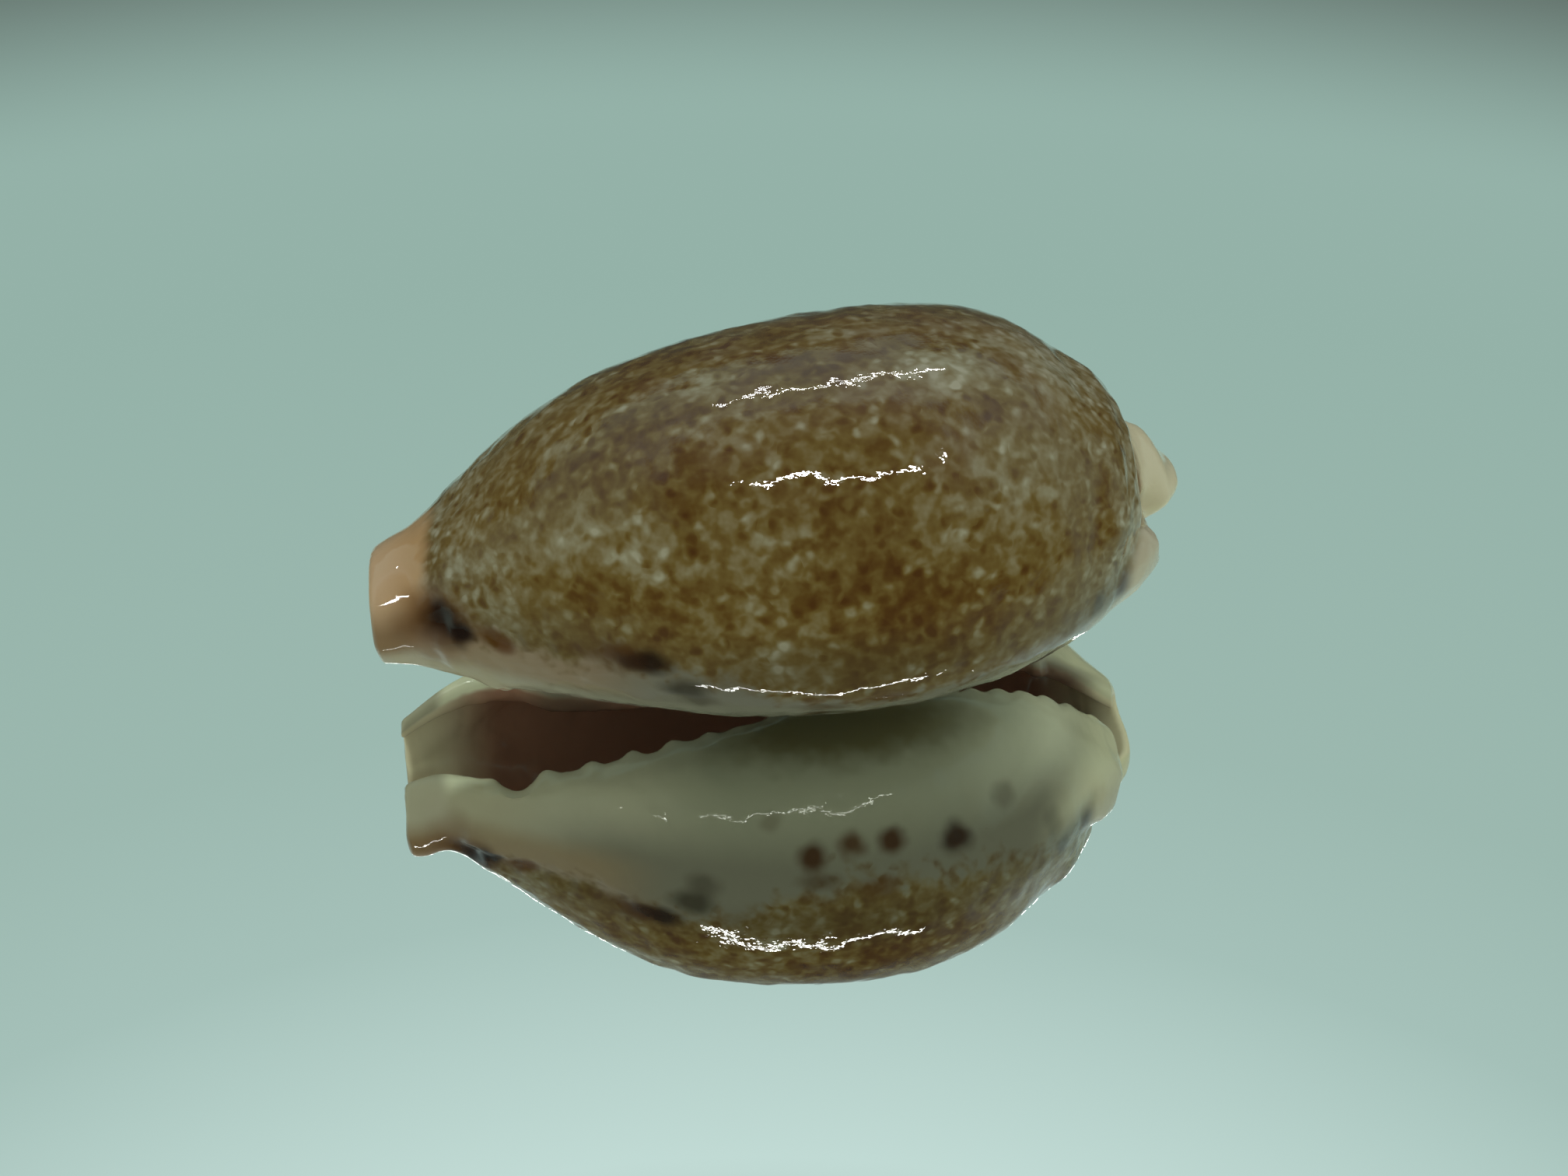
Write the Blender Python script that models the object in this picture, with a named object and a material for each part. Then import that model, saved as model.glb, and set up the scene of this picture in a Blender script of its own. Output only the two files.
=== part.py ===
"""Cowrie shell: one grown piece, hollow, with a slit along its base.

Metres, +Z up. The shell stands on its base at z = 0. Its front (siphon) end
points to -X and its spire end to +X, with the outer lip on the +Y side and
the inner lip on the -Y side. The wall is lofted through C-shaped sections,
each open at the slit, and the two ends of the loft are the rims of the
front and spire canals.
"""
import math

import bpy
import numpy as np

MM = 0.001
NODE = "shell"

# Sections from the front end to the spire end, in millimetres. Each holds x,
# the widest point on the outer and on the inner lip side, the crown, the
# base, the widest level, and the slit's edge on the outer and inner lip.
SECTIONS = (
    (-15.2, 1.6, -3.2, 5.3, 1.9, 3.55, 0.6, -1.6),
    (-13.6, 2.9, -3.4, 5.9, 1.6, 3.6, 1.6, -1.5),
    (-11.5, 4.6, -4.3, 7.7, 1.4, 3.8, 2.2, -2.2),
    (-8.5, 5.97, -5.95, 10.35, 1.1, 4.19, 1.6, -2.3),
    (-4.5, 7.35, -7.95, 12.2, 0.5, 4.56, 0.9, -2.0),
    (0.0, 8.45, -8.88, 12.95, -0.1, 4.49, 0.5, -1.4),
    (4.5, 8.84, -8.85, 13.1, -0.1, 4.67, 0.6, -1.0),
    (8.5, 8.45, -7.6, 12.2, 0.5, 4.63, 0.9, -1.0),
    (11.2, 7.3, -5.85, 10.2, 1.4, 4.43, 1.1, -1.2),
    (13.0, 5.8, -4.65, 8.1, 2.4, 4.6, 1.0, -1.5),
    (14.0, 3.9, -3.95, 6.8, 2.9, 4.58, 0.6, -1.3),
    (15.0, 2.2, -3.1, 6.1, 3.4, 4.53, 0.2, -1.0),
)
RINGS = 60
HALF_LENGTH = 15.0

# Wall sizes in millimetres at the front end, the middle and the spire end.
CROWN_WALL = (0.6, 1.1, 0.7)
SIDE_WALL = (0.55, 1.6, 0.7)
OUTER_LIP_RADIUS = (0.35, 1.0, 0.45)
INNER_LIP_RADIUS = (0.4, 1.4, 0.45)
FOOT_WIDTH = (0.1, 0.8, 0.15)

# Roundness of the section: 2 is an ellipse, less is leaner, more is squarer.
OUTER_CROWN_POWER = 2.05
INNER_CROWN_POWER = 2.2
OUTER_BASE_POWER = 1.8
INNER_BASE_POWER = 1.65

# The crown's highest line stands nearer the inner lip side: its place as a
# share of the width, measured from that side.
CROWN_SHARE = 0.37

# How far the spire end's rim stands back, in even steps from the outer lip
# over the crown to the inner lip. The sections lean this way from RIM_START.
RIM_SETBACK = ((0.6,), (0.4,), (0.1,), (0.0,), (0.1,), (1.3,), (1.3,), (1.2,), (1.7,))
RIM_START = 11.0

# Points round each lip, in degrees from the way the lip points, and along
# the base and over the crown.
LIP_TURN = (15, 38, 63)
BASE_STEPS = 6
CROWN_STEPS = 18


def clear_scene():
    for thing in list(bpy.data.objects):
        bpy.data.objects.remove(thing, do_unlink=True)


def smooth_through(table, share):
    """The row at a share, 0 to 1, of a natural cubic through even rows."""
    rows = np.asarray(table, float)
    count = len(rows)
    system = np.zeros((count, count))
    pull = np.zeros_like(rows)
    system[0, 0] = 1.0
    system[-1, -1] = 1.0
    for i in range(1, count - 1):
        system[i, i - 1:i + 2] = (1.0, 4.0, 1.0)
        pull[i] = 6.0 * (rows[i - 1] - 2.0 * rows[i] + rows[i + 1])
    bend = np.linalg.solve(system, pull)
    place = share * (count - 1)
    i = min(int(place), count - 2)
    after = place - i
    before = 1.0 - after
    straight = before * rows[i] + after * rows[i + 1]
    curve = (before ** 3 - before) * bend[i] + (after ** 3 - after) * bend[i + 1]
    return straight + curve / 6.0


def wall_size(front_middle_end, x):
    """A wall size at x, easing from its middle value to each end's."""
    front, middle, end = front_middle_end
    at_end = front if x < 0 else end
    return at_end + (middle - at_end) * (1.0 - min(abs(x) / HALF_LENGTH, 1.0) ** 2)


def lip_edge(centre, radius, side, up):
    """Points from a lip's tip towards its foot (up -1) or its top (up +1)."""
    points = []
    for degrees in LIP_TURN:
        a = math.radians(degrees)
        points.append((centre[0] - side * radius * math.cos(a),
                       centre[1] + up * radius * math.sin(a)))
    points.append((centre[0], centre[1] + up * radius))
    return points


def flank(start, end, power):
    """Quarter of a superellipse, level at its start and upright at its end."""
    points = []
    for k in range(BASE_STEPS):
        t = math.pi / 2 * k / BASE_STEPS
        y = start[0] + (end[0] - start[0]) * math.sin(t) ** (2 / power)
        z = end[1] - (end[1] - start[1]) * math.cos(t) ** (2 / power)
        points.append((y, z))
    return points


def crown(outer_y, inner_y, widest_z, crown_z):
    """Two quarters of superellipses, from the outer lip side to the inner."""
    top_y = inner_y + (outer_y - inner_y) * CROWN_SHARE
    points = []
    for k in range(CROWN_STEPS + 1):
        t = math.pi * k / CROWN_STEPS
        to_outer = math.cos(t) > 0
        power = OUTER_CROWN_POWER if to_outer else INNER_CROWN_POWER
        reach = outer_y - top_y if to_outer else top_y - inner_y
        side = math.copysign(abs(math.cos(t)) ** (2 / power), math.cos(t))
        rise = abs(math.sin(t)) ** (2 / power)
        points.append((top_y + reach * side, widest_z + (crown_z - widest_z) * rise))
    return points


def half_section(lip, radius, foot, widest, side, up):
    """One lip and its flank, from the lip's tip to just below the widest."""
    level = lip[1] + up * radius
    start = (lip[0] + side * foot, level)
    power = OUTER_BASE_POWER if side > 0 else INNER_BASE_POWER
    return lip_edge(lip, radius, side, up) + flank(start, widest, power)


def section_points(row):
    """Outside and inside of one section, both from outer to inner lip."""
    x, outer_y, inner_y, crown_z, base_z, widest_z, slit_outer, slit_inner = row
    outer_r = wall_size(OUTER_LIP_RADIUS, x)
    inner_r = wall_size(INNER_LIP_RADIUS, x)
    foot = wall_size(FOOT_WIDTH, x)
    side_wall = wall_size(SIDE_WALL, x)
    outer_lip = (slit_outer + outer_r, base_z + outer_r)
    inner_lip = (slit_inner - inner_r, base_z + inner_r)

    outside = half_section(outer_lip, outer_r, foot, (outer_y, widest_z), 1, -1)
    outside += crown(outer_y, inner_y, widest_z, crown_z)
    inner_half = half_section(inner_lip, inner_r, foot, (inner_y, widest_z), -1, -1)
    outside += reversed(inner_half)

    hollow_outer = outer_y - side_wall
    hollow_inner = inner_y + side_wall
    hollow_z = max(widest_z, base_z + 2 * max(outer_r, inner_r) + 0.3)
    ceiling = crown_z - wall_size(CROWN_WALL, x)
    inside = half_section(outer_lip, outer_r, foot, (hollow_outer, hollow_z), 1, 1)
    inside += crown(hollow_outer, hollow_inner, hollow_z, ceiling)
    inner_half = half_section(inner_lip, inner_r, foot, (hollow_inner, hollow_z), -1, 1)
    inside += reversed(inner_half)
    return outside, inside


def lean_back(x, across):
    """Where a point lies once the sections lean to the spire end's rim."""
    spire_x = SECTIONS[-1][0]
    lean = max(0.0, (x - RIM_START) / (spire_x - RIM_START))
    return x - lean * smooth_through(RIM_SETBACK, across)[0]


def ring_vertices(share):
    """One ring of the loft: along the outside, then back along the inside."""
    row = smooth_through(SECTIONS, share)
    outside, inside = section_points(row)
    last = len(outside) - 1
    ring = []
    for k, (y, z) in enumerate(outside):
        x = lean_back(row[0], k / last)
        ring.append((x * MM, y * MM, max(z, 0.0) * MM))
    for k in range(last, -1, -1):
        y, z = inside[k]
        x = lean_back(row[0], k / last)
        ring.append((x * MM, y * MM, z * MM))
    return ring


def loft_faces(loop, rings):
    """Four-sided faces between the rings, and across the rims at both ends."""
    faces = []
    for j in range(rings - 1):
        start = j * loop
        for k in range(loop):
            following = (k + 1) % loop
            faces.append((start + k, start + following,
                          start + loop + following, start + loop + k))
    spire = (rings - 1) * loop
    for k in range(loop // 2 - 1):
        twin = loop - 1 - k
        faces.append((k, twin, twin - 1, k + 1))
        faces.append((spire + k, spire + k + 1, spire + twin - 1, spire + twin))
    return faces


def shell_mesh():
    rings = [ring_vertices(j / (RINGS - 1)) for j in range(RINGS)]
    vertices = [point for ring in rings for point in ring]
    mesh = bpy.data.meshes.new(NODE)
    mesh.from_pydata(vertices, [], loft_faces(len(rings[0]), RINGS))
    mesh.update()
    return mesh


def centre_on_base(mesh):
    """Move the mesh so that its box is centred over the origin."""
    xs = [vertex.co.x for vertex in mesh.vertices]
    ys = [vertex.co.y for vertex in mesh.vertices]
    middle_x = (min(xs) + max(xs)) / 2
    middle_y = (min(ys) + max(ys)) / 2
    for vertex in mesh.vertices:
        vertex.co.x -= middle_x
        vertex.co.y -= middle_y


def porcelain():
    material = bpy.data.materials.new("porcelain")
    material.use_nodes = True
    shader = material.node_tree.nodes["Principled BSDF"]
    shader.inputs["Base Color"].default_value = (0.42, 0.31, 0.19, 1.0)
    shader.inputs["Roughness"].default_value = 0.15
    shader.inputs["Metallic"].default_value = 0.0
    return material


def main():
    clear_scene()
    mesh = shell_mesh()
    centre_on_base(mesh)
    mesh.materials.append(porcelain())
    mesh.shade_smooth()
    shell = bpy.data.objects.new(NODE, mesh)
    bpy.context.scene.collection.objects.link(shell)


main()
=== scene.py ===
"""Cowrie shell lying on its base on a pale polished plate, in soft light."""
import math

import bmesh
import bpy
from mathutils import Matrix, Vector


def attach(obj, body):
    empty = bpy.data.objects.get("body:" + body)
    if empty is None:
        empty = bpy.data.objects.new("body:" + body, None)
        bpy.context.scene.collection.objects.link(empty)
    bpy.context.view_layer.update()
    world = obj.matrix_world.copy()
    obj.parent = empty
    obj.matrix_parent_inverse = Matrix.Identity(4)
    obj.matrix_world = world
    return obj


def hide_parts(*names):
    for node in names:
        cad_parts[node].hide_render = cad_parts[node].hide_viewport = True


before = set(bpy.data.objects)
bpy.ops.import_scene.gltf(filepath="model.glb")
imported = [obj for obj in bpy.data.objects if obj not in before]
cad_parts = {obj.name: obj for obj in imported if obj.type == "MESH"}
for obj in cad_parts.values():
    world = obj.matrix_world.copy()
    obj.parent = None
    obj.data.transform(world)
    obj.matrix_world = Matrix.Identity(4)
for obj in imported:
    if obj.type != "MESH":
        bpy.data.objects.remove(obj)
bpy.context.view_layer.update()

# ---------------------------------------------------------------- the shell
# The whole shell is one wall of aragonite, grown without a joint and glazed
# by the animal's mantle. It starts as a merged copy of the plain wall, its
# three-sided faces are paired again, and two rounds of subdivision round it.
MM = 0.001
SAME_POINT = 0.001 * MM
PAIRING_ANGLE = math.radians(60)

cowrie = bpy.data.objects.new("cowrie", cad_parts["shell"].data.copy())
bpy.context.scene.collection.objects.link(cowrie)
bpy.ops.object.select_all(action="DESELECT")
cowrie.select_set(True)
bpy.context.view_layer.objects.active = cowrie
bpy.ops.mesh.customdata_custom_splitnormals_clear()
cowrie.data.materials.clear()

bpy.ops.object.mode_set(mode="EDIT")
bpy.ops.mesh.select_all(action="SELECT")
bpy.ops.mesh.remove_doubles(threshold=SAME_POINT)
bpy.ops.mesh.tris_convert_to_quads(face_threshold=PAIRING_ANGLE, shape_threshold=PAIRING_ANGLE)
bpy.ops.mesh.faces_shade_smooth()
bpy.ops.object.mode_set(mode="OBJECT")
rounding = cowrie.modifiers.new("rounding", "SUBSURF")
rounding.levels = 2
rounding.render_levels = 2
bpy.ops.object.modifier_apply(modifier="rounding")


def pick_points(wanted):
    """Select, in edit mode, the points whose place in millimetres is wanted."""
    grown = bmesh.from_edit_mesh(cowrie.data)
    for vertex in grown.verts:
        vertex.select = bool(wanted(*(vertex.co / MM)))
    grown.select_flush_mode()
    bmesh.update_edit_mesh(cowrie.data)


def nudge(way, reach):
    """Move the picked points by millimetres, with a soft surround."""
    bpy.ops.transform.translate(value=[d * MM for d in way], use_proportional_edit=True,
                                proportional_edit_falloff="SMOOTH",
                                proportional_size=reach * MM)


def swell(height, reach):
    """Raise the picked points along their normals, with a soft surround."""
    bpy.ops.transform.shrink_fatten(value=height * MM, use_proportional_edit=True,
                                    proportional_edit_falloff="SMOOTH",
                                    proportional_size=reach * MM)


# --------------------------------------------------------------- the lips
# The two lips roll in towards the slit. The inner lip ends in a smooth ridge
# and a notch at the front, and both carry blunt teeth that are part of the
# wall. Each tooth is a crossways line of points pushed out over the slit.
SLIT_MIDDLE = -0.185
LIP_TOP = 4.2
NOTCH = -10.75
INNER_TEETH = (-9.6, -7.8, -6.1, -4.6, -3.2, -1.8, -0.4, 1.0, 2.4, 3.8, 5.2, 6.5,
               7.7, 8.8, 9.9, 10.9)
STRONG_TEETH_END = -4.0
OUTER_FIRST_TOOTH = -3.0
OUTER_TOOTH_STEP = 1.42
OUTER_TEETH = [OUTER_FIRST_TOOTH + OUTER_TOOTH_STEP * i for i in range(11)]


def slit_edge(side, x):
    """How far a lip reaches towards the slit at x: side 1 outer, -1 inner."""
    near = [v.co.y / MM for v in cowrie.data.vertices
            if abs(v.co.x / MM - x) < 0.12 and v.co.z / MM < LIP_TOP
            and side * (v.co.y / MM - SLIT_MIDDLE) > 0]
    return min(near) if side > 0 else max(near)


def lip_nose(side, x, edge, half_width, depth):
    """A test for points on a lip's rounded edge, near x."""
    def wanted(px, py, pz):
        inward = side * (py - edge)
        return abs(px - x) < half_width and -0.1 < inward < depth and pz < LIP_TOP
    return wanted


inner_edge = {x: slit_edge(-1, x) for x in (NOTCH, *INNER_TEETH)}
outer_edge = {x: slit_edge(1, x) for x in OUTER_TEETH}
bpy.ops.object.mode_set(mode="EDIT")
bpy.context.tool_settings.mesh_select_mode = (True, False, False)
pick_points(lip_nose(-1, NOTCH, inner_edge[NOTCH], 0.15, 0.8))
nudge((0, -0.65, 0.05), 0.95)
for x in INNER_TEETH:
    strong = 1.0 if x < STRONG_TEETH_END else 0.75
    pick_points(lip_nose(-1, x, inner_edge[x], 0.1, 0.5))
    nudge((0, 0.34 * strong, 0), 0.62)
for x in OUTER_TEETH:
    pick_points(lip_nose(1, x, outer_edge[x], 0.1, 0.9))
    nudge((0, -0.28, -0.03), 0.5)

# --------------------------------------------------------------- the spout
# The front canal is a short open spout of the same wall. The outer lip thins
# to a wedge that runs out to its rim, the rim flares over a faint waist, and
# a ledge of callus follows the base's near margin behind it.
pick_points(lambda px, py, pz: px < -10.5 and 0.0 < py < 3.4 and pz < 2.2)
nudge((-0.05, 0.25, -0.35), 1.6)
pick_points(lambda px, py, pz: px < -14.5 and pz > 3.6)
swell(0.10, 1.1)
pick_points(lambda px, py, pz: px < -14.6 and py < 0.5 and pz > 2.4)
nudge((0, -0.15, 0.06), 1.1)
pick_points(lambda px, py, pz: -13.9 < px < -13.2 and py < -1.0 and 2.6 < pz < 7.2)
swell(-0.12, 1.0)
LEDGE = ((-13.0, -3.35, 3.3), (-12.35, -3.55, 3.6), (-11.3, -4.0, 3.55), (-10.2, -4.6, 3.5),
         (-9.1, -5.2, 3.55), (-8.0, -5.9, 3.6), (-7.1, -6.4, 3.7))
GROOVE_ABOVE_LEDGE = 0.95
for lx, ly, lz in LEDGE:
    gz = lz + GROOVE_ABOVE_LEDGE
    pick_points(lambda px, py, pz: (px - lx) ** 2 + (py - ly) ** 2 + (pz - lz) ** 2 < 0.16)
    swell(0.10, 0.75)
    pick_points(lambda px, py, pz: (px - lx) ** 2 + (py - ly) ** 2 + (pz - gz) ** 2 < 0.12)
    swell(-0.07, 0.6)

# ----------------------------------------------------------- the spire end
# The spire is grown over by the same wall. The back bulges over a waist, the
# outer lip's lobe is a round knob beyond it, and the inner lip's lobe stands
# out nearer the base, with a notch between the two.
pick_points(lambda px, py, pz: px > 11.3 and -5.5 < py < 1.5 and 7.2 < pz < 9.6)
swell(0.32, 1.8)
pick_points(lambda px, py, pz: 13.0 < px < 13.7 and -3.4 < py < 2.4 and pz > 6.3)
swell(-0.38, 0.9)
pick_points(lambda px, py, pz: px > 14.3 and pz > 4.6)
swell(0.16, 0.9)
pick_points(lambda px, py, pz: 13.0 < px < 14.2 and -3.4 < py < -2.6 and 4.8 < pz < 6.2)
nudge((-0.35, 0.25, 0), 0.8)
pick_points(lambda px, py, pz: px > 12.4 and -4.6 < py < -3.6 and 3.2 < pz < 4.9)
nudge((0.5, 0, 0.15), 1.4)
pick_points(lambda px, py, pz: 11.9 < px < 12.9 and -2.3 < py < -1.4 and pz < 3.2)
nudge((0.05, 0.45, -0.12), 0.9)
pick_points(lambda px, py, pz: px > 12.9 and -4.4 < py < -2.8 and 4.9 < pz < 6.2)
nudge((0.05, 0.05, 0.38), 0.9)
bpy.ops.object.mode_set(mode="OBJECT")

# ------------------------------------------------------------ the surface
# The mantle lays the glaze down a little unevenly, so the wall is faintly
# wavy. Two gentle displacements along the normals make the waves, which fade
# to a fifth on the spout and on the spire end, where the glaze is smoother.
WAVES_START = -13.7
WAVES_END = 14.0
WAVES_FADE = 1.4
LEAST_WAVES = 0.2
wavy = cowrie.vertex_groups.new(name="wavy back")
for v in cowrie.data.vertices:
    from_end = min(v.co.x / MM - WAVES_START, WAVES_END - v.co.x / MM)
    wavy.add([v.index], min(max(from_end / WAVES_FADE, LEAST_WAVES), 1.0), "REPLACE")
for name, size, depth in (("broad waves", 1.5, 0.14), ("small waves", 0.55, 0.07)):
    waves = bpy.data.textures.new(name, "CLOUDS")
    waves.noise_scale = size * MM
    waves.noise_depth = 1
    ripple = cowrie.modifiers.new(name, "DISPLACE")
    ripple.texture = waves
    ripple.texture_coords = "LOCAL"
    ripple.strength = depth * MM
    ripple.mid_level = 0.5
    ripple.vertex_group = "wavy back"
    bpy.ops.object.modifier_apply(modifier=name)
cowrie.vertex_groups.clear()

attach(cowrie, "root")
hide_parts("shell")

# ------------------------------------------------------------- the glaze
# The glaze is coloured in layers as it grows: pale porcelain on the base,
# a peach front spout, a freckled brown back, dark blots along the margins
# and a purple-brown inside. All of it lies under one clear glossy coat.
glaze = bpy.data.materials.new("glazed shell")
glaze.use_nodes = True
tree = glaze.node_tree


def put(kind, sockets=None, **settings):
    """Add a node to the tree in hand; sockets hold values or nodes' outputs."""
    made = tree.nodes.new("ShaderNode" + kind)
    for name, value in settings.items():
        setattr(made, name, value)
    for key, value in (sockets or {}).items():
        if isinstance(value, bpy.types.NodeSocket):
            tree.links.new(value, made.inputs[key])
        else:
            made.inputs[key].default_value = value
    return made


def sum_up(how, *values):
    """One step of arithmetic on numbers or outputs."""
    return put("Math", dict(enumerate(values)), operation=how).outputs[0]


def times(first, second):
    """The product of two numbers or outputs, such as where two shares meet."""
    return sum_up("MULTIPLY", first, second)


def fade(value, low, high):
    """0 below low and 1 above high, with a soft step between; or falling."""
    sockets = {"Value": value, "From Min": min(low, high), "From Max": max(low, high)}
    if low > high:
        sockets["To Min"], sockets["To Max"] = 1.0, 0.0
    return put("MapRange", sockets, interpolation_type="SMOOTHSTEP").outputs[0]


def lay(share, under, over):
    """Cover one colour with another by a share."""
    sockets = {0: share, 6: under, 7: over}
    return put("Mix", sockets, data_type="RGBA").outputs[2]


def grain(spot, scale, detail=2.0, rough=0.5, twist=0.0):
    """Cloudy noise, 0 to 1, with the scale in waves to a millimetre."""
    sockets = {"Vector": spot, "Scale": scale, "Detail": detail, "Roughness": rough,
               "Distortion": twist}
    return put("TexNoise", sockets).outputs["Fac"]


def spread(value, low, high):
    """Stretch a narrow span of values to 0 and 1."""
    return put("MapRange", {"Value": value, "From Min": low, "From Max": high}).outputs[0]


# Everything below is placed in millimetres, x, y and z, on the finished shell.
axes = put("TexCoord").outputs["Object"]
place = put("Mapping", {"Vector": axes, "Scale": (1000.0, 1000.0, 1000.0)}).outputs[0]
x, y, z = put("SeparateXYZ", {0: place}).outputs

# Where each ground colour lies. The margin line is where the freckled back
# gives way to the bare base; it dips at the middle and climbs at both ends.
# It is drawn from end to end as shares of the highest margin.
SHELL_END = 15.0
HIGHEST_MARGIN = 10.0
MARGIN_ENDS = ((0.0, 0.60), (1.0, 0.56))
MARGIN_BENDS = ((0.14, 0.42), (0.20, 0.42), (0.27, 0.46), (0.34, 0.46), (0.40, 0.44),
                (0.46, 0.37), (0.55, 0.32), (0.66, 0.33), (0.77, 0.38), (0.90, 0.50))
drift = sum_up("SUBTRACT", grain(place, 0.55), 0.5)
margin = put("FloatCurve", {"Value": spread(x, -SHELL_END, SHELL_END)})
bends = margin.mapping.curves[0]
for point, spot in zip(bends.points, MARGIN_ENDS):
    point.location = spot
for spot in MARGIN_BENDS:
    bends.points.new(*spot)
margin.mapping.update()
level = times(margin.outputs[0], HIGHEST_MARGIN)
height = sum_up("SUBTRACT", z, sum_up("MULTIPLY_ADD", drift, 2.2, level))
lean = sum_up("MULTIPLY_ADD", z, -0.12, x)
spout = fade(sum_up("ADD", lean, times(drift, 1.2)), -13.35, -14.15)

# The inside is told from the outside by which way the wall faces: away from
# the middle line of the shell, or back towards it.
normal = put("NewGeometry").outputs["Normal"]
middle = put("CombineXYZ", {"X": x, "Y": -0.5, "Z": 4.7}).outputs[0]
ray = put("VectorMath", {0: place, 1: middle}, operation="SUBTRACT").outputs[0]
away = put("VectorMath", {0: ray}, operation="NORMALIZE").outputs[0]
facing = put("VectorMath", {0: away, 1: normal}, operation="DOT_PRODUCT").outputs["Value"]
hollow = fade(facing, 0.05, -0.45)

# The freckled back. Soft golden-brown freckles run together over a blue-grey
# ground, with pale flecks between them, and are finer towards both ends.
stir = put("TexNoise", {"Vector": place, "Scale": 1.2, "Detail": 1.0}).outputs["Color"]
wander = put("VectorMath", {0: stir, 1: (0.5, 0.5, 0.5)}, operation="SUBTRACT").outputs[0]


def stirred(amount):
    """The place, pushed about so that an outline on it comes out ragged."""
    sockets = {0: wander, 1: (amount, amount, amount), 2: place}
    return put("VectorMath", sockets, operation="MULTIPLY_ADD").outputs[0]


def specks(scale, width, gather):
    """Roundish specks, each of its own strength, with some left out."""
    cells = put("TexVoronoi", {"Vector": warped, "Scale": scale}, feature="F1")
    cells_own = put("SeparateColor", {0: cells.outputs["Color"]}).outputs[0]
    return times(fade(cells.outputs["Distance"], width, 0.12),
                 fade(cells_own, gather, gather + 0.4))


def freckling(size, ground):
    """From 0 on the pale ground to 1 in the darkest freckles."""
    patches = fade(grain(warped, 1.5 / size, 1.5), 0.30, 0.70)
    fine = grain(place, 3.6 / size, 1.0)
    dark = specks(1.75 / size, 0.52, 0.10)
    pale = specks(1.6 / size, 0.48, 0.10)
    mixed = ground
    for marks, weight in ((patches, 0.34), (fine, 0.28), (dark, 0.25), (pale, -0.28)):
        mixed = sum_up("MULTIPLY_ADD", marks, weight, mixed)
    return mixed


warped = stirred(0.5)
ends = sum_up("MAXIMUM", fade(x, -6.5, -12.0), fade(x, 7.0, 11.5))
mottle = put("Mix", {0: ends, 2: freckling(1.0, 0.17), 3: freckling(0.80, 0.10)}).outputs[0]
clouds = spread(grain(place, 0.17, 2.0, 0.55, 0.6), 0.35, 0.65)
brown = sum_up("MULTIPLY_ADD", clouds, 0.24, sum_up("ADD", mottle, -0.08))

# Broad soft changes in the freckling, each with its place, radii and how much
# browner (or, below zero, paler) it is: bands over the back and pale patches.
BANDS = (
    ((-2.0, 2.6, 12.0), (6.0, 2.6, 2.0), 0.18), ((5.5, 1.8, 12.6), (3.2, 1.8, 1.5), 0.08),
    ((0.5, -1.3, 12.9), (3.2, 0.9, 1.2), 0.20), ((-5.6, -3.4, 10.6), (3.4, 1.6, 1.8), 0.20),
    ((-9.6, -2.2, 8.6), (2.6, 1.6, 1.4), 0.12), ((5.2, -2.7, 12.7), (1.9, 1.0, 1.3), -0.42),
    ((8.6, -1.0, 11.6), (2.4, 2.4, 2.0), -0.20), ((-1.5, -6.6, 9.6), (2.2, 1.6, 1.8), -0.16),
    ((-6.2, -5.6, 8.6), (2.6, 1.4, 1.0), -0.14), ((3.6, -8.4, 7.0), (3.6, 1.4, 1.7), 0.16),
    ((-4.6, -7.0, 6.6), (3.2, 1.6, 1.4), 0.16), ((9.6, -5.6, 8.6), (1.6, 1.8, 1.6), 0.14),
    ((1.5, -7.8, 8.8), (4.5, 1.6, 1.8), 0.10), ((11.6, -3.6, 7.6), (1.6, 2.2, 2.6), -0.12),
    ((2.0, -6.2, 11.0), (2.6, 1.2, 1.2), 0.10), ((-3.4, -1.4, 12.2), (1.8, 0.9, 1.0), -0.18),
    ((-9.6, -3.8, 7.8), (3.2, 2.6, 2.4), -0.05), ((10.6, -1.0, 9.0), (2.6, 4.0, 3.0), 0.05),
    ((-7.3, -6.0, 7.3), (2.4, 1.3, 1.3), 0.17), ((2.8, 0.9, 12.8), (1.7, 1.0, 1.0), -0.25),
    ((-11.6, -2.4, 7.2), (1.4, 1.5, 1.4), -0.13),
)


def nearness(spot, centre, size, rim=1.5, core=0.3):
    """1 at a place and 0 beyond its radii, fading softly between."""
    off = put("VectorMath", {0: spot, 1: centre}, operation="SUBTRACT").outputs[0]
    shrunk = put("VectorMath", {0: off, 1: size}, operation="DIVIDE").outputs[0]
    gone = put("VectorMath", {0: shrunk}, operation="LENGTH").outputs["Value"]
    return fade(gone, rim, core)


waved = stirred(1.1)
for centre, size, browner in BANDS:
    brown = sum_up("MULTIPLY_ADD", nearness(waved, centre, size), browner, brown)

# The freckles' colours, from the palest ground to the darkest brown.
PALEST = (0.06, (0.455, 0.440, 0.315, 1))
DARKEST = (1.0, (0.100, 0.040, 0.006, 1))
BETWEEN = ((0.22, (0.345, 0.318, 0.196, 1)), (0.38, (0.270, 0.220, 0.105, 1)),
           (0.56, (0.200, 0.137, 0.036, 1)), (0.76, (0.142, 0.077, 0.014, 1)))
LOW_FLANK = (0.100, 0.085, 0.050, 1)
CROWN_SMOKE = (0.185, 0.110, 0.075, 1)
tones = put("ValToRGB", {0: brown})
ladder = tones.color_ramp
for rung, (share, colour) in zip(ladder.elements, (PALEST, DARKEST)):
    rung.position, rung.color = share, colour
for share, colour in BETWEEN:
    ladder.elements.new(share).color = colour
freckled = lay(times(fade(z, 7.6, 4.4), 0.38), tones.outputs[0], LOW_FLANK)
smoke = spread(grain(waved, 0.42), 0.42, 0.70)
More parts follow.
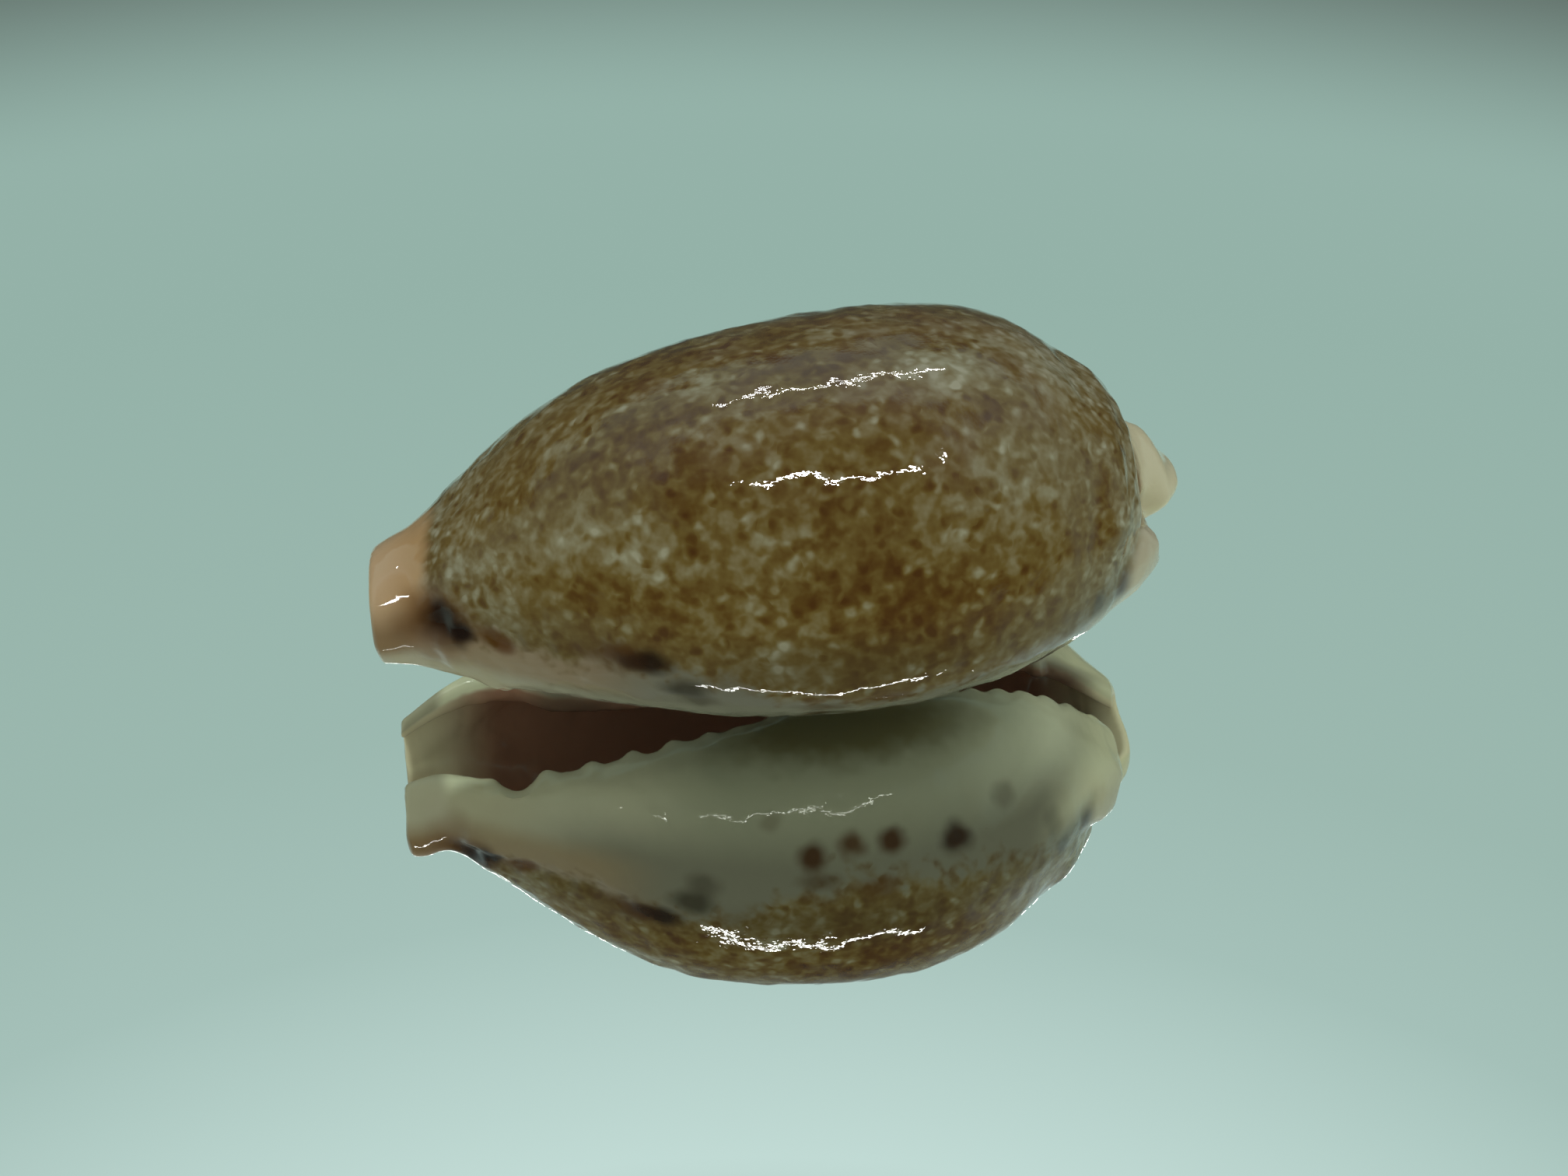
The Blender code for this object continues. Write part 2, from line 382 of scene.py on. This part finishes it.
over_crown = times(fade(z, 10.2, 12.2), fade(x, -7.5, -3.5))
freckled = lay(times(times(smoke, over_crown), 0.34), freckled, CROWN_SMOKE)

# The bare porcelain: cream, paler on the lips' front ends, darker up the
# margins and warmer behind the spout. It is darker in the middle and paler
# towards both ends, partly painted light: the middle lies close to the plate
# in its shade and the ends catch more light. A painted contact shadow darkens
# the base beside the inner lip, where it nearly touches the plate.
CREAM = (0.345, 0.350, 0.262, 1)
CREAM_AND_PAINTED_LIGHT_TO_ENDS = ((-2.5, -7.5, (0.50, 0.485, 0.37, 1)), (-9.0, -12.0, (0.45, 0.425, 0.305, 1)),
                 (5.0, 10.5, (0.56, 0.56, 0.43, 1)), (8.6, 11.4, (0.80, 0.80, 0.63, 1)))
base = CREAM
for start, finish, colour in CREAM_AND_PAINTED_LIGHT_TO_ENDS:
    base = lay(fade(x, start, finish), base, colour)
far_lip = times(fade(x, -9.0, -12.0), fade(y, -0.5, 1.0))
base = lay(far_lip, base, (0.74, 0.71, 0.55, 1))
ridge = times(fade(x, -11.0, -12.0), fade(y, -2.9, -2.2))
base = lay(ridge, base, (0.95, 0.95, 0.74, 1))
edge = times(fade(z, 0.9, 2.8), fade(x, -13.0, -6.5))
base = lay(times(edge, 0.95), base, (0.185, 0.180, 0.138, 1))
warm = times(fade(z, 2.2, 3.3), fade(x, -5.0, -8.5))
base = lay(times(warm, 0.8), base, (0.29, 0.215, 0.130, 1))
# Painted contact shadow where the base nearly touches the plate.
contact_shadow = nearness(waved, (2.0, -3.2, 0.0), (5.9, 2.1, 1.3), 1.2, 0.40)
base = lay(times(contact_shadow, 0.90), base, (0.150, 0.130, 0.060, 1))

# The spout is peach on top and palest at its rim, browner on its flank, and
# turns to cream below.
peach = lay(fade(x, -15.1, -13.4), (0.66, 0.48, 0.29, 1), (0.56, 0.37, 0.18, 1))
peach = lay(fade(z, 5.3, 4.0), peach, (0.29, 0.195, 0.105, 1))
peach = lay(fade(z, 3.7, 2.6), peach, (0.50, 0.47, 0.36, 1))

# Blots under the glaze: place, radii, strength and colour of each, along the
# margins of both sides, with the big one at the root of the spout.
BLOTS = (
    ((-12.90, -3.35, 4.60), (1.45, 1.3, 1.10), 0.93, (0.15, 0.065, 0.016, 1)),
    ((-12.65, -3.50, 4.50), (1.05, 1.0, 0.80), 0.97, (0.030, 0.011, 0.003, 1)),
    ((-12.70, -3.45, 4.95), (0.50, 0.5, 0.55), 0.9, (0.020, 0.007, 0.003, 1)),
    ((-12.00, -3.80, 4.25), (0.50, 0.5, 0.40), 0.95, (0.012, 0.004, 0.002, 1)),
    ((-11.05, -4.42, 4.55), (0.65, 0.6, 0.45), 0.9, (0.105, 0.042, 0.004, 1)),
    ((-10.60, -4.65, 4.25), (0.45, 0.4, 0.35), 0.7, (0.10, 0.032, 0.004, 1)),
    ((0.6, -8.6, 5.3), (5.2, 1.6, 1.2), 0.32, (0.07, 0.045, 0.012, 1)),
    ((-13.2, -3.2, 3.3), (1.0, 0.7, 0.8), 0.5, (0.27, 0.20, 0.14, 1)),
    ((13.2, -1.6, 6.8), (0.55, 2.2, 0.9), 0.75, (0.26, 0.13, 0.045, 1)),
    ((-6.60, -6.85, 5.20), (1.3, 0.8, 0.6), 0.90, (0.085, 0.034, 0.006, 1)),
    ((-5.75, -7.30, 5.08), (0.9, 0.6, 0.5), 0.95, (0.018, 0.007, 0.002, 1)),
    ((-7.80, -6.20, 4.92), (1.0, 0.6, 0.35), 0.5, (0.10, 0.05, 0.018, 1)),
    ((-4.55, -7.70, 4.05), (0.85, 0.8, 0.5), 0.85, (0.042, 0.036, 0.022, 1)),
    ((-6.3, -6.95, 5.0), (0.6, 0.5, 0.35), 0.7, (0.035, 0.013, 0.004, 1)),
    ((-4.12, -7.59, 3.31), (0.7, 0.6, 0.5), 0.6, (0.060, 0.050, 0.034, 1)),
    ((0.07, -7.77, 2.31), (0.6, 0.6, 0.5), 0.95, (0.060, 0.025, 0.008, 1)),
    ((1.58, -7.56, 2.03), (0.55, 0.6, 0.45), 0.9, (0.075, 0.033, 0.010, 1)),
    ((3.17, -7.51, 2.07), (0.55, 0.6, 0.45), 0.95, (0.060, 0.025, 0.009, 1)),
    ((5.76, -7.42, 2.47), (0.65, 0.7, 0.6), 1.0, (0.040, 0.020, 0.010, 1)),
    ((7.92, -6.04, 1.83), (0.5, 0.6, 0.5), 0.55, (0.13, 0.11, 0.08, 1)),
    ((10.05, -6.25, 3.43), (0.45, 0.5, 0.7), 0.9, (0.075, 0.075, 0.060, 1)),
    ((10.56, -6.26, 4.86), (0.35, 0.4, 0.5), 0.7, (0.10, 0.10, 0.085, 1)),
    ((-1.34, -6.57, 1.31), (0.45, 0.45, 0.35), 0.45, (0.14, 0.11, 0.07, 1)),
    ((0.23, -8.30, 3.08), (0.8, 0.5, 0.35), 0.6, (0.070, 0.040, 0.016, 1)),
    ((2.56, -8.55, 3.42), (0.8, 0.5, 0.4), 0.6, (0.10, 0.050, 0.014, 1)),
    ((11.83, -5.11, 4.68), (0.45, 0.5, 0.7), 0.75, (0.085, 0.062, 0.060, 1)),
    ((-11.6, 3.9, 4.6), (1.4, 1.2, 1.0), 0.9, (0.13, 0.055, 0.014, 1)),
    ((-11.7, 3.9, 4.6), (0.9, 0.8, 0.6), 0.95, (0.018, 0.007, 0.003, 1)),
    ((-7.6, 5.9, 3.2), (0.6, 0.6, 0.5), 0.8, (0.06, 0.028, 0.014, 1)),
    ((-4.6, 7.2, 3.0), (0.55, 0.6, 0.5), 0.7, (0.08, 0.04, 0.02, 1)),
    ((-2.2, 7.4, 2.4), (0.5, 0.6, 0.45), 0.85, (0.06, 0.028, 0.01, 1)),
    ((0.6, 7.9, 2.5), (0.55, 0.6, 0.5), 0.9, (0.05, 0.022, 0.01, 1)),
    ((3.9, 8.1, 2.7), (0.55, 0.6, 0.5), 0.8, (0.07, 0.032, 0.012, 1)),
    ((6.6, 7.7, 2.6), (0.5, 0.6, 0.45), 0.7, (0.08, 0.045, 0.025, 1)),
    ((10.0, 6.8, 3.6), (0.5, 0.5, 0.5), 0.6, (0.12, 0.10, 0.07, 1)),
)
scattered = sum_up("MULTIPLY_ADD", sum_up("SUBTRACT", mottle, 0.5), 1.7, height)
skin = lay(fade(scattered, -0.55, 0.65), base, freckled)
skin = lay(spout, skin, peach)
ragged = stirred(0.42)
for centre, size, strength, colour in BLOTS:
    skin = lay(times(nearness(ragged, centre, size), strength), skin, colour)

# The spire end is a pale cream nub with a brown root. The nub starts sooner
# on the inner lip's lobe and later on the outer lip's.
NEAR_LOBE = (0.58, 0.55, 0.41, 1)
KNOB = (0.76, 0.74, 0.52, 1)
UNDER_NUB_WITH_PAINTED_LIGHT = (0.70, 0.69, 0.51, 1)
near_lobe = times(sum_up("MAXIMUM", sum_up("SUBTRACT", -3.0, y), 0.0), 0.5)
far_side = times(sum_up("MAXIMUM", sum_up("SUBTRACT", y, 0.5), 0.0), -0.25)
nub_start = sum_up("ADD", x, near_lobe)
nub = fade(sum_up("ADD", nub_start, far_side), 12.85, 13.4)
skin = lay(nub, skin, lay(fade(y, -3.0, -2.0), NEAR_LOBE, KNOB))
# The lobes below the nub are made paler, as painted light from behind.
skin = lay(times(fade(z, 4.6, 3.2), fade(nub_start, 10.8, 13.2)), skin, UNDER_NUB_WITH_PAINTED_LIGHT)

# The inside turns from cream at the rims to a dark purple-brown in the
# hollow. The cream at the rims is made bright as painted light, standing in
# for light that shines through the thin wall. The two throats behind the rims
# are painted near-black, as shade deep in the recesses.
INSIDE_RIM_WITH_PAINTED_LIGHT = (0.88, 0.81, 0.60, 1)
HOLLOW = (0.46, 0.25, 0.18, 1)
THROAT_SHADE = (0.145, 0.105, 0.080, 1)
deep = times(hollow, times(fade(x, -14.4, -11.2), fade(x, 14.1, 12.2)))
skin = lay(hollow, skin, INSIDE_RIM_WITH_PAINTED_LIGHT)
skin = lay(deep, skin, HOLLOW)
# Painted shade in the two throats behind the rims.
throat_shade = sum_up("MAXIMUM", nearness(place, (12.1, 1.1, 2.5), (1.9, 0.55, 1.3)),
                nearness(place, (-8.6, 1.75, 2.0), (3.0, 0.75, 0.85)))
skin = lay(times(throat_shade, 0.82), skin, THROAT_SHADE)

# The coat over the colours is smooth, with faint ripples that only its gloss
# shows.
RIPPLE_HEIGHT = 0.006 * MM
shader = tree.nodes["Principled BSDF"]
tree.links.new(skin, shader.inputs["Base Color"])
shader.inputs["Roughness"].default_value = 0.35
shader.inputs["Specular IOR Level"].default_value = 0.0
shader.inputs["Coat Weight"].default_value = 1.0
shader.inputs["Coat Roughness"].default_value = 0.03
ripples = put("Bump", {"Height": grain(place, 5.5, 1.0), "Strength": 1.0,
                       "Distance": RIPPLE_HEIGHT})
tree.links.new(ripples.outputs["Normal"], shader.inputs["Coat Normal"])
cowrie.data.materials.append(glaze)

# ---------------------------------------------------------------- the plate
# The shell lies on a sheet of mirror glass. Only the silver is made, as far
# under the shell as it looks through the glass. It is polished on top, and
# clear from below so that the base can be looked at through it.
MIRROR_LEVEL = -1.42 * MM
PLATE_SIZE = 3.0
bpy.ops.mesh.primitive_plane_add(size=PLATE_SIZE, location=(0, 0, MIRROR_LEVEL))
plate = bpy.context.active_object
plate.name = "plate"
polish = bpy.data.materials.new("polished plate")
polish.use_nodes = True
tree = polish.node_tree
silver = tree.nodes["Principled BSDF"]
silver.inputs["Base Color"].default_value = (0.80, 0.82, 0.78, 1.0)
silver.inputs["Metallic"].default_value = 1.0
silver.inputs["Roughness"].default_value = 0.0
underneath = put("NewGeometry").outputs["Backfacing"]
clear = put("BsdfTransparent").outputs[0]
one_way = put("MixShader", {0: underneath, 1: silver.outputs[0], 2: clear}).outputs[0]
tree.links.new(one_way, tree.nodes["Material Output"].inputs[0])
plate.data.materials.append(polish)

# ----------------------------------------------------------------- the room
# A pale blue-green room, brightest high up, and dim behind the viewer and low
# on its front and back walls, is what the gloss and the plate reflect. The
# light on the shell's own colours comes from an even soft glow instead.
TOWARD_VIEWER = (-0.10, -0.72, 0.69)
DARK_WALLS = (0.08, 0.09, 0.08, 1)
world = bpy.data.worlds.new("studio")
bpy.context.scene.world = world
world.use_nodes = True
tree = world.node_tree
where = put("TexCoord").outputs["Generated"]
_, inward, rise = put("SeparateXYZ", {0: where}).outputs
rays = put("LightPath").outputs


def sky_ramp(stops):
    """Colours from the floor line up to straight overhead."""
    ramp = put("ValToRGB", {0: rise})
    marks = ramp.color_ramp.elements
    for mark, (share, colour) in zip(marks, (stops[0], stops[-1])):
        mark.position, mark.color = share, colour
    for share, colour in stops[1:-1]:
        marks.new(share).color = colour
    return ramp.outputs["Color"]


room = sky_ramp(((0.0, (0.35, 0.50, 0.47, 1)), (0.50, (0.37, 0.54, 0.50, 1)),
                 (0.68, (0.415, 0.585, 0.55, 1)), (0.75, (0.47, 0.645, 0.62, 1)),
                 (0.83, (0.67, 0.86, 0.85, 1)), (0.90, (0.28, 0.33, 0.31, 1)),
                 (1.0, (0.20, 0.22, 0.21, 1))))
glow = sky_ramp(((0.0, (0.22, 0.215, 0.195, 1)), (0.5, (0.44, 0.43, 0.395, 1)),
                 (1.0, (0.74, 0.725, 0.665, 1))))
bounced = sky_ramp(((0.0, (0.34, 0.365, 0.315, 1)), (0.35, (0.80, 0.86, 0.76, 1)),
                    (1.0, (1.45, 1.55, 1.37, 1))))
viewer_side = put("VectorMath", {0: where, 1: TOWARD_VIEWER}, operation="DOT_PRODUCT")
behind_viewer = fade(viewer_side.outputs["Value"], 0.45, 0.95)
low_walls = times(fade(rise, 0.43, 0.30), fade(sum_up("ABSOLUTE", inward), 0.0, 0.5))
walls = lay(sum_up("MAXIMUM", behind_viewer, low_walls), room, DARK_WALLS)
seen_air = tree.nodes["Background"]
tree.links.new(walls, seen_air.inputs["Color"])
soft_air = put("Background", {"Color": lay(rays["Is Diffuse Ray"], bounced, glow)})
after_diffuse = sum_up("GREATER_THAN", rays["Diffuse Depth"], 0.5)
air = put("MixShader", {0: after_diffuse, 1: seen_air.outputs[0], 2: soft_air.outputs[0]})
tree.links.new(air.outputs[0], tree.nodes["World Output"].inputs["Surface"])

# ---------------------------------------------------------------- the lamps
# Long thin lamps along X, one in front and two behind, draw the lines of
# gloss. They light no colours, and the rim lamp is seen only in the plate's
# picture of the shell. Each has its direction, length, width, power, shift
# along X and the fewest bounces that a ray needs before it sees the lamp.
LAMP_REACH = 0.2
LAMPS = (
    ("lamp in front", (0.05, -0.50, 0.87), 0.138, 0.0025, 0.36, -0.0065, 0.0),
    ("lamp behind", (0.15, 0.69, 0.72), 0.098, 0.0011, 0.037, -0.007, 0.0),
    ("rim lamp", (0.11, 0.575, 0.81), 0.14, 0.005, 1.2, 0.0, 2.5),
)
for name, toward, length, width, watts, shift, least_depth in LAMPS:
    lamp = bpy.data.lights.new(name, "AREA")
    lamp.shape = "RECTANGLE"
    lamp.size = length
    lamp.size_y = width
    lamp.energy = watts
    holder = bpy.data.objects.new(name, lamp)
    bpy.context.scene.collection.objects.link(holder)
    way = Vector(toward).normalized()
    holder.location = way * LAMP_REACH + Vector((shift, 0, 0))
    up = way.cross(Vector((1, 0, 0))).normalized()
    side = up.cross(way).normalized()
    holder.rotation_euler = Matrix((side, up, way)).transposed().to_euler()
    holder.visible_diffuse = False
    lamp.use_nodes = True
    tree = lamp.node_tree
    path = put("LightPath").outputs
    gloss_only = sum_up("LESS_THAN", path["Diffuse Depth"], 0.5)
    deep_enough = sum_up("GREATER_THAN", path["Ray Depth"], least_depth)
    tree.links.new(times(gloss_only, deep_enough), tree.nodes["Emission"].inputs["Strength"])

# --------------------------------------------------------------- the camera
# The camera looks down on the inner lip's side of the shell, from a little
# towards its front end, and leans a trifle to one side.
AIM = Vector((0.542, 2.155, 0.0)) * MM
DISTANCE = 76.5 * MM
TURN, LIFT, ROLL = math.radians(-9.7), math.radians(39.3), math.radians(0.67)
eye = bpy.data.cameras.new("camera")
camera = bpy.data.objects.new("camera", eye)
bpy.context.scene.collection.objects.link(camera)
bpy.context.scene.camera = camera
eye.lens = 43.75
eye.sensor_width = 36.0
eye.clip_start = 0.005
eye.clip_end = 10.0
back = Vector((math.sin(TURN) * math.cos(LIFT), -math.cos(TURN) * math.cos(LIFT),
               math.sin(LIFT)))
camera.location = AIM + back * DISTANCE
camera.rotation_mode = "QUATERNION"
camera.rotation_quaternion = (-back).to_track_quat("-Z", "Y")
camera.rotation_quaternion.rotate(Matrix.Rotation(ROLL, 3, back).to_quaternion())
bpy.context.scene.view_settings.view_transform = "Standard"
